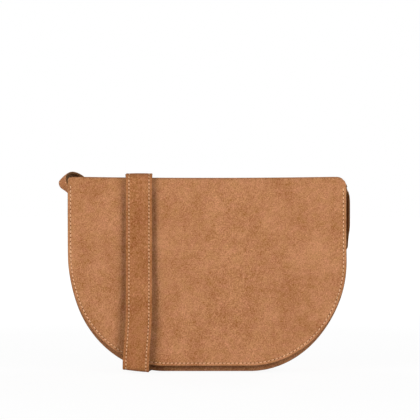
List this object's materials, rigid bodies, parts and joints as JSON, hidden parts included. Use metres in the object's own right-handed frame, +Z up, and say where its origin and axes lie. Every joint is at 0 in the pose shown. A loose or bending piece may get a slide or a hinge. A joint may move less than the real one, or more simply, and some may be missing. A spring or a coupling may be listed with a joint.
{
  "type": "half-moon shoulder bag",
  "caption": "Slim half-moon suede shoulder bag with a full front flap that folds open, a hidden magnetic snap, a zipped inner pocket and its strap wound once round the body.",
  "frame": {"origin": "middle of the flat stretch of the bag's bottom, midway between the outer faces of the two panels", "axes": "+X to the bag's right as seen from its front, +Y from the flap towards the back panel, +Z up to the mouth; the front looks along -Y"},
  "size_m": [0.2692, 0.0759, 0.1831],
  "materials": {
    "tan_suede": "napped tan suede",
    "strap_suede": "napped tan suede, a shade darker",
    "dark_suede": "short napped brown suede",
    "fibre_board": "pressed fibre board",
    "lining_cloth": "twill cloth",
    "zip_tape": "woven tape",
    "brass": "polished",
    "magnet": "sintered magnet"
  },
  "bodies": {
    "bag_body": {"back_panel": "tan_suede", "front_panel": "tan_suede", "gusset": "dark_suede", "back_board": "fibre_board", "front_board": "fibre_board", "lining": "lining_cloth", "mouth_facing": "dark_suede", "slip_pocket": "lining_cloth", "zip_pocket_bag": "lining_cloth", "zip_tape": "zip_tape", "zip_frame": "dark_suede", "zip_chain": "brass", "zip_stop_left": "brass", "zip_stop_right": "brass", "snap_socket": "brass", "snap_magnet": "magnet", "snap_washer": "brass", "strap_backing": "dark_suede", "strap_face": "strap_suede"},
    "flap_top": {"flap_top_suede": "tan_suede", "flap_top_lining": "dark_suede"},
    "flap_front": {"flap_front_suede": "tan_suede", "flap_board": "fibre_board", "flap_front_lining": "dark_suede", "snap_stud": "brass", "stud_washer": "brass"},
    "slider": {"zip_slider": "brass"},
    "pull": {"zip_pull": "brass"}
  },
  "joints": [
    {"name": "flap_hinge", "type": "hinge", "parent": "bag_body", "child": "flap_top", "pos_m": [0, 0.0218, 0.1726], "axis": [-1, 0, 0], "range_deg": [0, 100], "deforming": ["strap_face", "strap_backing"]},
    {"name": "flap_fold", "type": "hinge", "parent": "flap_top", "child": "flap_front", "pos_m": [0, -0.0293, 0.1726], "axis": [-1, 0, 0], "range_deg": [0, 90], "deforming": ["strap_face", "strap_backing"]},
    {"name": "zip_slide", "type": "slide", "parent": "bag_body", "child": "slider", "axis": [-1, 0, 0], "range_m": [0, 0.13]},
    {"name": "zip_pull_swing", "type": "hinge", "parent": "slider", "child": "pull", "pos_m": [0.0661, 0.0146, 0.126], "axis": [0, 0, -1], "range_deg": [0, 150]}
  ],
  "couplings": [
    {"joint": "flap_fold", "follows": "flap_hinge", "ratio": 0.9}
  ]
}
